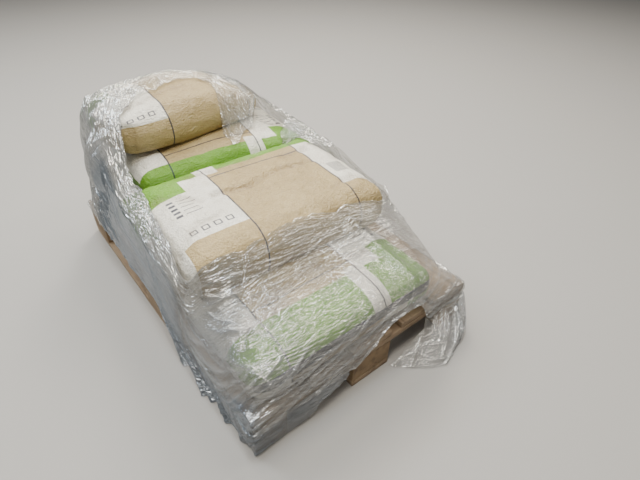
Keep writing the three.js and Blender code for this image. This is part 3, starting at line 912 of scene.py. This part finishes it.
def lap_over(grid, laps):
    """Adds to each column the film that laps in over the hole, towards the hole's middle."""
    middle = grid[:, 0].mean(axis=0)
    azimuths = np.degrees(np.arctan2(grid[:, 0, 1] - film_centre[1], grid[:, 0, 0] - film_centre[0]))
    lapped = np.empty((len(grid), film_rows, 3))
    for column, points in enumerate(grid):
        edge = points[0]
        inward = (middle - edge) / np.linalg.norm(middle - edge)
        length = sum(
            lap["length"] * math.exp(-(((azimuths[column] - lap["azimuth"]) / lap["width"]) ** 4))
            for lap in laps
        )
        line = even_rows(points, fine_trace)
        if length > shortest_lap:
            extra = edge + inward * np.linspace(length, 0, lap_points, endpoint=False)[:, None]
            line = np.vstack([extra, line])
        lapped[column] = even_length(line, film_rows)
    return lapped


def lay_down(grid, reach, laps_end):
    """Drops the lapped film onto what lies under it."""
    offsets = grid - film_centre
    distances = np.linalg.norm(offsets, axis=2)
    inside = np.arange(grid.shape[1])[None, :] < laps_end[:, None]
    distances = np.where(inside & (reach > 0), reach, distances)
    return film_centre + offsets / np.linalg.norm(offsets, axis=2, keepdims=True) * distances[..., None]


film_edge = film_grid[:, 0].copy()
film_grid = lap_over(film_grid, film_laps)
lap_rows = np.argmin(np.linalg.norm(film_grid - film_edge[:, None], axis=2), axis=1)
film_reach = least_reach(film_grid, under_film)
film_grid = lay_down(film_grid, film_reach, lap_rows)
film_grid = pull_taut(film_grid, film_reach, fine_pulls)


def grid_normals(grid, closed=True):
    """Outward directions of a grid of points, closed where it runs right round the load."""
    if closed:
        around = np.roll(grid, -1, axis=0) - np.roll(grid, 1, axis=0)
    else:
        around = np.gradient(grid, axis=0)
    down = np.gradient(grid, axis=1)
    normals = -np.cross(around, down)
    return normals / np.maximum(1e-9, np.linalg.norm(normals, axis=2, keepdims=True))


def film_place(grid):
    """Distance round the pallet from its back left corner, and distance down from the torn edge."""
    azimuths = np.arctan2(grid[:, -1, 1] - film_centre[1], grid[:, -1, 0] - film_centre[0])
    corners = [
        (-half_length, -half_width), (half_length, -half_width), (half_length, half_width),
        (-half_length, half_width),
    ]
    turns = np.array([math.atan2(y - film_centre[1], x - film_centre[0]) for x, y in corners])
    start = turns[0]
    turns = (turns - start) % (2 * math.pi)
    round_load = np.interp((azimuths - start) % (2 * math.pi), [*turns, 2 * math.pi], corner_stations)
    steps = np.linalg.norm(np.diff(grid, axis=1), axis=2)
    down = np.concatenate([np.zeros((len(grid), 1)), np.cumsum(steps, axis=1)], axis=1)
    return round_load, down


film_round, film_down = film_place(film_grid)

# Folds by where they lie: from and to in metres round the load (from its back left corner) and
# down from the torn edge, with the range of their slope in degrees, length, half width and height
film_folds = {
    "fine streaks round the clear sides": {"round": (1.2, 4.0), "down": (0, 0.75), "count": 1500,
     "slope": (-24, 8), "length": (0.06, 0.26), "width": (0.0028, 0.004), "height": (0.0005, 0.0016)},
    "crossing streaks on the low sack's top": {"round": (1.2, 2.0), "down": (0.1, 0.42),
     "count": 240, "slope": (14, 24), "length": (0.08, 0.3), "width": (0.0025, 0.0035),
     "height": (0.0004, 0.0012)},
    "streaks pulled level on the low sack's top": {"round": (1.2, 2.0), "down": (0.1, 0.42),
     "count": 460, "slope": (-32, -16), "length": (0.1, 0.36), "width": (0.0025, 0.0035),
     "height": (0.0004, 0.0014)},
    "front face, pulled up to the right": {"round": (1.15, 1.95), "down": (0.34, 0.7),
     "count": 130, "slope": (-34, -10), "length": (0.16, 0.5), "width": (0.003, 0.007),
     "height": (0.003, 0.008)},
    "left face, long and stiff": {"round": (0.0, 0.95), "down": (0.15, 0.6), "count": 22,
     "slope": (6, 20), "length": (0.35, 0.9), "width": (0.01, 0.02), "height": (0.002, 0.006)},
    "left face, fine lines": {"round": (0.0, 0.95), "down": (0.12, 0.6), "count": 60,
     "slope": (4, 18), "length": (0.15, 0.5), "width": (0.003, 0.006), "height": (0.0006, 0.0016)},
    "near corner, drawn down to the floor": {"round": (0.75, 1.25), "down": (0.2, 0.75),
     "count": 70, "slope": (24, 52), "length": (0.16, 0.5), "width": (0.004, 0.01),
     "height": (0.002, 0.006)},
    "bunched along the torn edge at the left": {"round": (0.0, 1.25), "down": (0, 0.12),
     "count": 380, "slope": (-14, 20), "length": (0.08, 0.3), "width": (0.003, 0.007),
     "height": (0.003, 0.009)},
    "bunched at the foot of the clear sack": {"round": (1.2, 2.1), "down": (0, 0.15),
     "count": 240, "slope": (-14, 10), "length": (0.14, 0.5), "width": (0.0025, 0.006),
     "height": (0.002, 0.007)},
    "right face": {"round": (2.0, 3.2), "down": (0, 0.6), "count": 420, "slope": (-25, 12),
     "length": (0.1, 0.45), "width": (0.003, 0.008), "height": (0.002, 0.007)},
    "round the top sack": {"round": (3.0, 4.25), "down": (0, 0.55), "count": 560,
     "slope": (-70, 50), "length": (0.06, 0.28), "width": (0.003, 0.008), "height": (0.002, 0.008)},
    "bulge of bunched film at the back left corner": {"round": (3.93, 4.14),
     "down": (0.1, 0.36), "count": 12, "slope": (60, 115), "length": (0.16, 0.34),
     "width": (0.02, 0.04), "height": (0.016, 0.034)},
    "crumples on that bulge": {"round": (3.86, 4.2), "down": (0.06, 0.46), "count": 150,
     "slope": (-60, 75), "length": (0.06, 0.2), "width": (0.003, 0.008), "height": (0.004, 0.016)},
}
# How far a fold may bow sideways over its length, and how high one stands that shows in full
fold_bow = 0.12
full_fold = 0.005
# The rolls of film at the hem and at the torn edge, and how unevenly the tear draws back
hem_roll = {"height": 0.003, "width": 0.005}
torn_edge = {"draw_back": 0.022, "fades_over": 0.07, "per_metre": 9, "roll": 0.0035, "roll_width": 0.006}


def fold_heights(round_load, down, folds, seed):
    """Height of the film's folds at each point: each is a straight crest that thins out at its ends."""
    chance = np.random.default_rng(seed)
    heights = np.zeros(down.shape)
    for fold in folds.values():
        for _ in range(fold["count"]):
            at_round = chance.uniform(*fold["round"])
            at_down = chance.uniform(*fold["down"])
            slope = math.radians(chance.uniform(*fold["slope"]))
            length = chance.uniform(*fold["length"])
            width = chance.uniform(*fold["width"])
            height = chance.uniform(*fold["height"])
            bow = chance.uniform(-fold_bow, fold_bow)
            gap = (round_load - at_round + perimeter / 2) % perimeter - perimeter / 2
            columns = np.nonzero(np.abs(gap) < length / 2 + 2 * width)[0]
            if not len(columns):
                continue
            reach = length / 2 * abs(math.sin(slope)) + 4 * width
            rows = np.nonzero((np.abs(down[columns] - at_down) < reach).any(axis=0))[0]
            if not len(rows):
                continue
            first, last = rows[0], rows[-1] + 1
            aside = gap[columns][:, None]
            below = down[columns, first:last] - at_down
            along = aside * math.cos(slope) + below * math.sin(slope)
            across = below * math.cos(slope) - aside * math.sin(slope) + bow * along**2 / length
            taper = np.clip(1 - (2 * along / length) ** 2, 0, 1)
            crest = np.exp(-((np.abs(across) / width) ** 1.4))
            heights[columns, first:last] = np.maximum(heights[columns, first:last], height * taper * crest)
    return heights


def tear_edge(grid, round_load, down):
    """Draws the torn edge back by an uneven amount, so that it doesn't run smooth."""
    strands = np.column_stack([round_load * torn_edge["per_metre"], 0 * round_load, 0 * round_load])
    uneven = np.clip(0.5 + 0.6 * noise_at(strands, 1.0, 61) + 0.3 * noise_at(strands, 3.4, 62), 0, 1)
    torn = grid.copy()
    for column, reached in enumerate(down):
        fading = np.clip(1 - reached / torn_edge["fades_over"], 0, 1)
        wanted = reached + torn_edge["draw_back"] * uneven[column] * fading
        for axis in range(3):
            torn[column, :, axis] = np.interp(wanted, reached, grid[column, :, axis])
    return torn


film_grid = tear_edge(film_grid, film_round, film_down)
film_height = fold_heights(film_round, film_down, film_folds, seed=41)
film_height += torn_edge["roll"] * np.exp(-((film_down / torn_edge["roll_width"]) ** 2))
above_hem = film_down[:, -1:] - film_down
film_height += hem_roll["height"] * np.exp(-((above_hem / hem_roll["width"]) ** 2))
film_normals = grid_normals(film_grid)
film_surface = film_grid + film_normals * film_height[..., None]


def film_piece(name, node, grid, round_load, down, looks, heights):
    """A mesh over a grid of film points, with its place on the film, its looks and its folds."""
    columns, rows = down.shape
    points = grid.copy()
    points[..., 2] = np.maximum(points[..., 2], film_clearance)
    index = np.arange(columns * rows).reshape(columns, rows)
    left, right = index[:-1], index[1:]
    faces = np.stack([left[:, :-1], left[:, 1:], right[:, 1:], right[:, :-1]], axis=-1).reshape(-1, 4)
    mesh = bpy.data.meshes.new(name)
    mesh.from_pydata(points.reshape(-1, 3), [], faces)
    mesh.shade_smooth()
    place = np.stack([np.repeat(round_load[:, None], rows, axis=1), down, 0 * down], axis=-1)
    write_attribute(mesh, "film_place", place.reshape(-1, 3))
    for look, amounts in looks.items():
        write_attribute(mesh, f"film_{look}", amounts.ravel())
    write_attribute(mesh, "film_fold", np.clip(heights.ravel() / full_fold, 0, 1))
    film = bpy.data.objects.new(name, mesh)
    bpy.context.scene.collection.objects.link(film)
    film.data.materials.append(film_material)
    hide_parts(node)
    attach(film, "root")


# The film's clear tint, and the dark blue-grey of painted shade that it takes where it is hazy
clear_film_tint = (0.86, 0.835, 0.78)
milky_film_painted_shade = (0.24, 0.27, 0.305)
clearest_film = 0.06
milkiest_film = 0.94
fold_whiteness = 0.36
edge_whiteness = 0.3
# How near to the middle of its noise a streak or a hair shows, and how strongly
streak_line = {"within": 0.075, "strength": 4.0}
hair_line = {"within": 0.04, "strength": 7.0}
# Strands drawn out in the film: turn in degrees, how fine along, across and out, and how strong
film_strands = [(7, (2.6, 100, 1), 0.5), (-12, (3, 130, 1), 0.5), (1, (2, 190, 1), 0.35)]
# Hair-fine wrinkles that cross each other: turns in degrees, and how fine along, across and out
hair_turns = (26, -18)
hair_fineness = (14, 130, 1)
strand_noise = {"detail": 1.0, "roughness": 0.45, "distortion": 0.05}
hair_noise = {"detail": 2.0, "roughness": 0.6}


def ridges(tree, place, turn, fineness, **noise_settings):
    """Long ridges: how far stretched noise lies from its middle value."""
    pattern = noise_texture(tree, stretched(tree, place, fineness, turn), 1.0, **noise_settings)
    return math_node(tree, "ABSOLUTE", math_node(tree, "SUBTRACT", pattern, 0.5))


def stretch_film():
    """Clear glossy film: mirror-like streaks on its folds, hazy where many turns lie together, and
    darkened there to blue-grey by painted shade.
    """
    material, tree, shader = new_material("clear_stretch_film", 0.12)
    shader.inputs["Metallic"].default_value = 0.6
    shader.inputs["IOR"].default_value = 1.6
    place = add_node(tree, "ShaderNodeAttribute", attribute_name="film_place").outputs["Vector"]
    haze_and_painted_shade, fold, streak_share, grain = (
        add_node(tree, "ShaderNodeAttribute", attribute_name=f"film_{look}").outputs["Fac"]
        for look in ("haze_and_painted_shade", "fold", "streaks", "grain")
    )
    # The hazier the film, the more its colour goes to the dark blue-grey of painted shade
    painted_shade_share = math_node(tree, "MULTIPLY", haze_and_painted_shade, 1.8, clamp=True)
    tree.links.new(mix_colours(tree, painted_shade_share, clear_film_tint, milky_film_painted_shade), shader.inputs["Base Color"])

    streaks = add_up(tree, *(
        multiply(tree, ridges(tree, place, turn, fineness, **strand_noise), share)
        for turn, fineness, share in film_strands
    ))
    hairs = [
        multiply(tree, ridges(tree, place, turn, hair_fineness, **hair_noise), grain)
        for turn in hair_turns
    ]
    height = add_up(tree, multiply(tree, streaks, streak_share), multiply(tree, add_up(tree, *hairs), 0.8))
    raise_relief(tree, shader, height, strength=1.0, distance=0.015)

    hair_limit = multiply(tree, grain, hair_line["within"])
    hair_crest = math_node(tree, "SUBTRACT", hair_limit, math_node(tree, "MINIMUM", *hairs))
    shown_hairs = multiply(tree, math_node(tree, "MAXIMUM", hair_crest, 0.0), hair_line["strength"])
    streak_crest = math_node(tree, "SUBTRACT", streak_line["within"], streaks)
    creased = math_node(tree, "MAXIMUM", streak_crest, 0.0)
    shown_streaks = multiply(tree, creased, streak_line["strength"], streak_share)
    drift = noise_texture(tree, place, 8.0, detail=3.0)
    patchy = multiply(tree, haze_and_painted_shade, add_up(tree, drift, 0.6))
    edge_on = add_node(tree, "ShaderNodeLayerWeight", Blend=0.35).outputs["Facing"]
    sides = multiply(tree, math_node(tree, "POWER", edge_on, 2.0), edge_whiteness)
    folds = multiply(tree, fold, fold_whiteness)
    alpha = add_up(tree, patchy, add_up(tree, shown_streaks, shown_hairs), folds, sides)
    alpha = math_node(tree, "MAXIMUM", alpha, clearest_film)
    alpha = math_node(tree, "MINIMUM", alpha, milkiest_film)
    tree.links.new(alpha, shader.inputs["Alpha"])
    return material


film_material = stretch_film()
# The sides of the film in their order round the load, and the size and area of each laid flat
film_sides = [
    {"side": "left", "flat": (1.3, 0.6), "area": 0.42},
    {"side": "front", "flat": (0.9, 0.6), "area": 0.33},
    {"side": "right", "flat": (1.3, 0.6), "area": 0.42},
    {"side": "back", "flat": (1.0, 0.6), "area": 0.45},
]
# Looks of the film by where it lies, from and to round the load and down from the torn edge: how
# hazy it is from the turns lying on each other, which also darkens its colour with painted shade,
# how strong its streaks are, and its fine grain
film_looks = [
    {"round": (0.14, 0.94), "down": (0.12, 0.8), "haze_and_painted_shade": 0.78, "streaks": 0.16, "grain": 0.0},
    {"round": (0.94, 1.2), "down": (0.4, 0.8), "haze_and_painted_shade": 0.66, "streaks": 0.35, "grain": 0.0},
    {"round": (0.94, 1.16), "down": (0.12, 0.4), "haze_and_painted_shade": 0.48, "streaks": 0.3, "grain": 0.3},
    {"round": (-0.12, 0.16), "down": (0.0, 0.45), "haze_and_painted_shade": 0.34, "streaks": 0.65, "grain": 0.0},
    {"round": (0.0, 1.2), "down": (0.0, 0.12), "haze_and_painted_shade": 0.26, "streaks": 0.7, "grain": 0.0},
    {"round": (1.14, 1.36), "down": (0.14, 0.37), "haze_and_painted_shade": 0.42, "streaks": 0.5, "grain": 0.9},
    {"round": (1.2, 2.0), "down": (0.0, 0.13), "haze_and_painted_shade": 0.1, "streaks": 0.85, "grain": 0.0},
    {"round": (1.2, 2.0), "down": (0.13, 0.37), "haze_and_painted_shade": 0.17, "streaks": 0.6, "grain": 0.9},
    {"round": (1.2, 2.0), "down": (0.37, 0.8), "haze_and_painted_shade": 0.34, "streaks": 0.7, "grain": 0.1},
    {"round": (2.0, 3.2), "down": (0.0, 0.8), "haze_and_painted_shade": 0.22, "streaks": 0.7, "grain": 0.0},
    {"round": (3.2, 4.0), "down": (0.0, 0.3), "haze_and_painted_shade": 0.14, "streaks": 0.75, "grain": 0.0},
    {"round": (3.2, 4.0), "down": (0.3, 0.8), "haze_and_painted_shade": 0.34, "streaks": 0.7, "grain": 0.0},
]
look_blend = 0.06
# Looks of the film where no part of the table reaches, and their small weight
bare_looks = {"haze_and_painted_shade": 0.02, "streaks": 0.08, "grain": 0.0}
bare_weight = 0.1


def soft_within(values, span):
    """How far values lie within a span, from 0 to 1, with soft ends."""
    rise = np.clip((values - span[0]) / look_blend + 0.5, 0, 1)
    fall = np.clip((span[1] - values) / look_blend + 0.5, 0, 1)
    return rise * fall


def looks_at(round_load, down):
    """The film's looks at each point, blended between the parts of the table that reach it."""
    totals = dict(bare_looks)
    weight = bare_weight
    for part in film_looks:
        turns = sum(soft_within(round_load + shift * perimeter, part["round"]) for shift in (-1, 0, 1))
        share = turns * soft_within(down, part["down"])
        totals = {look: total + share * part[look] for look, total in totals.items()}
        weight = weight + share
    return {look: total / weight for look, total in totals.items()}


wall_looks = looks_at(film_round[:, None], film_down)
in_order = np.argsort(film_round)
ring = np.concatenate([in_order, in_order[:1]])
ring_round = np.concatenate([film_round[in_order], [perimeter]])
for side, start, end in zip(film_sides, corner_stations[:-1], corner_stations[1:]):
    inside = np.nonzero((ring_round >= start - 1e-6) & (ring_round <= end + 1e-6))[0]
    first, last = inside[0], min(inside[-1] + 1, len(ring) - 1)
    chosen = ring[first:last + 1]
    film_piece(
        f"stretch_film_{side['side']}_turns", f"stretch_film_{side['side']}",
        film_surface[chosen], ring_round[first:last + 1], film_down[chosen],
        {look: amounts[chosen] for look, amounts in wall_looks.items()},
        film_height[chosen],
    )


# Film that hangs to the floor
# Two stretches of the same film, below the wound turns. The skirt is drawn down at the near corner
# by the first turns, round the foot of the pallet. The loose fold is a slack end of the film that
# has slipped off the right front corner.
skirt_columns = 300
skirt_rows = 40
loose_columns = 420
loose_trace = 280
loose_rows = 70


def let_down(first, last, feet, rows, bulge):
    """The stretch of film that hangs from the wound film's lower edge, between two places round the
    load, down to its own foot line."""
    places = np.linspace(first, last, len(feet))
    edge = film_surface[in_order, -1]
    tops = np.column_stack([np.interp(places, film_round[in_order], edge[:, axis]) for axis in range(3)])
    outward = tops - film_centre
    outward[:, 2] = 0
    outward /= np.linalg.norm(outward, axis=1, keepdims=True)
    share = np.linspace(0, 1, rows)[None, :, None]
    hanging = tops[:, None] * (1 - share) + feet[:, None] * share
    hanging = hanging + outward[:, None] * bulge * np.sin(np.pi * share) ** 0.8
    starts = np.interp(places, film_round[in_order], film_down[in_order, -1])
    steps_down = np.linalg.norm(np.diff(hanging, axis=1), axis=2)
    drops = np.concatenate([np.zeros((len(feet), 1)), np.cumsum(steps_down, axis=1)], axis=1)
    steps_along = np.linalg.norm(np.diff(hanging[:, -1], axis=0), axis=1)
    along = first + np.concatenate([[0], np.cumsum(steps_along)])
    return hanging, places, along, starts[:, None] + drops


def fold_down(hanging, round_load, down, folds, seed, growth):
    """Folds on a hanging stretch, growing from its upper edge."""
    heights = fold_heights(round_load, down, folds, seed)
    share = np.linspace(0, 1, hanging.shape[1])[None, :]
    heights = heights * np.clip(share * growth, 0, 1)
    return hanging + grid_normals(hanging, closed=False) * heights[..., None], heights


skirt_feet = np.array([points[-1] for _, points in wall_columns("stretch_film_skirt")])
skirt_places = np.where(
    skirt_feet[:, 1] < -half_width,
    half_length + skirt_feet[:, 0],
    corner_stations[1] + half_width + skirt_feet[:, 1],
)
skirt_first, skirt_last = skirt_places.min(), skirt_places.max()
skirt_stations = np.linspace(skirt_first, skirt_last, skirt_columns)
rising = np.argsort(skirt_places)
skirt_foot = np.column_stack([
    np.interp(skirt_stations, skirt_places[rising], skirt_feet[rising, axis]) for axis in range(3)
])
# Ragged tongues of the skirt that stand out over the floor: where round the load, how far out, and
# their half width
skirt_tongues = [
    {"at": 0.775, "out": 0.014, "width": 0.010},
    {"at": 0.835, "out": 0.022, "width": 0.009},
    {"at": 0.885, "out": 0.012, "width": 0.006},
    {"at": 0.962, "out": 0.026, "width": 0.010},
    {"at": 0.995, "out": 0.016, "width": 0.006},
    {"at": 1.075, "out": 0.014, "width": 0.008},
    {"at": 1.150, "out": 0.008, "width": 0.010},
]
for tongue in skirt_tongues:
    near_it = np.exp(-(((skirt_stations - tongue["at"]) / tongue["width"]) ** 2))
    skirt_foot[:, 1] -= tongue["out"] * near_it
skirt_folds = {
    "strands pulled down to the floor": {"round": (0.7, 1.55), "down": (0.2, 0.7), "count": 220,
     "slope": (10, 60), "length": (0.03, 0.12), "width": (0.002, 0.005), "height": (0.001, 0.005)},
    "level strands": {"round": (0.7, 1.55), "down": (0.2, 0.7), "count": 140,
     "slope": (-20, 20), "length": (0.05, 0.2), "width": (0.002, 0.005), "height": (0.001, 0.004)},
}
skirt, skirt_round, _, skirt_down = let_down(skirt_first, skirt_last, skirt_foot, skirt_rows, bulge=0.004)
skirt, skirt_heights = fold_down(skirt, skirt_round, skirt_down, skirt_folds, seed=43, growth=4)
# How hazy the skirt is along its length, which also sets its painted shade
skirt_haze_and_painted_shade = np.interp(skirt_stations, [0.7, 1.1, 1.25, 1.6], [0.78, 0.66, 0.5, 0.42])

loose_first, loose_last = 1.83, 2.16
loose_foot = [
    (0.612, 0.060, 0.003), (0.652, 0.105, 0.003), (0.706, 0.178, 0.003), (0.700, 0.262, 0.003),
    (0.668, 0.335, 0.003), (0.600, 0.412, 0.003), (0.500, 0.424, 0.003),
]
loose_feet = even_length(even_rows(loose_foot, loose_trace), loose_columns)
loose_folds = {
    "pleats": {"round": (1.8, 2.4), "down": (0.2, 0.75), "count": 90, "slope": (62, 112),
     "length": (0.08, 0.3), "width": (0.004, 0.009), "height": (0.004, 0.013)},
    "crumples": {"round": (1.8, 2.4), "down": (0.2, 0.75), "count": 150, "slope": (-80, 80),
     "length": (0.03, 0.1), "width": (0.003, 0.006), "height": (0.001, 0.005)},
    "strands drawn level into the pocket": {"round": (1.83, 1.98), "down": (0.3, 0.75),
     "count": 50, "slope": (-30, 20), "length": (0.06, 0.16), "width": (0.0025, 0.005),
     "height": (0.003, 0.008)},
}
loose, _, loose_round, loose_down = let_down(loose_first, loose_last, loose_feet, loose_rows, bulge=0.014)
loose, loose_heights = fold_down(loose, loose_round, loose_down, loose_folds, seed=47, growth=5)
loose_share = np.linspace(0, 1, loose_columns)
# How hazy the loose fold is along its length, which also sets its painted shade
loose_haze_and_painted_shade = np.interp(loose_share, [0, 0.25, 0.45, 0.6, 1], [0.12, 0.2, 0.42, 0.3, 0.24])
hanging_streaks = 0.7
hanging_pieces = [
    {"name": "stretch_film_skirt_turns", "node": "stretch_film_skirt", "grid": skirt,
     "round": skirt_round, "down": skirt_down, "heights": skirt_heights, "haze_and_painted_shade": skirt_haze_and_painted_shade,
     "flat": (0.9, 0.15), "area": 0.09},
    {"name": "stretch_film_hanging_fold", "node": "stretch_film_loose_fold", "grid": loose,
     "round": loose_round, "down": loose_down, "heights": loose_heights, "haze_and_painted_shade": loose_haze_and_painted_shade,
     "flat": (0.6, 0.15), "area": 0.065},
]
for piece in hanging_pieces:
    down = piece["down"]
    looks = {
        "haze_and_painted_shade": np.repeat(piece["haze_and_painted_shade"][:, None], down.shape[1], axis=1),
        "streaks": np.full(down.shape, hanging_streaks),
        "grain": np.zeros(down.shape),
    }
    film_piece(
        piece["name"], piece["node"], piece["grid"], piece["round"], down, looks,
        piece["heights"],
    )
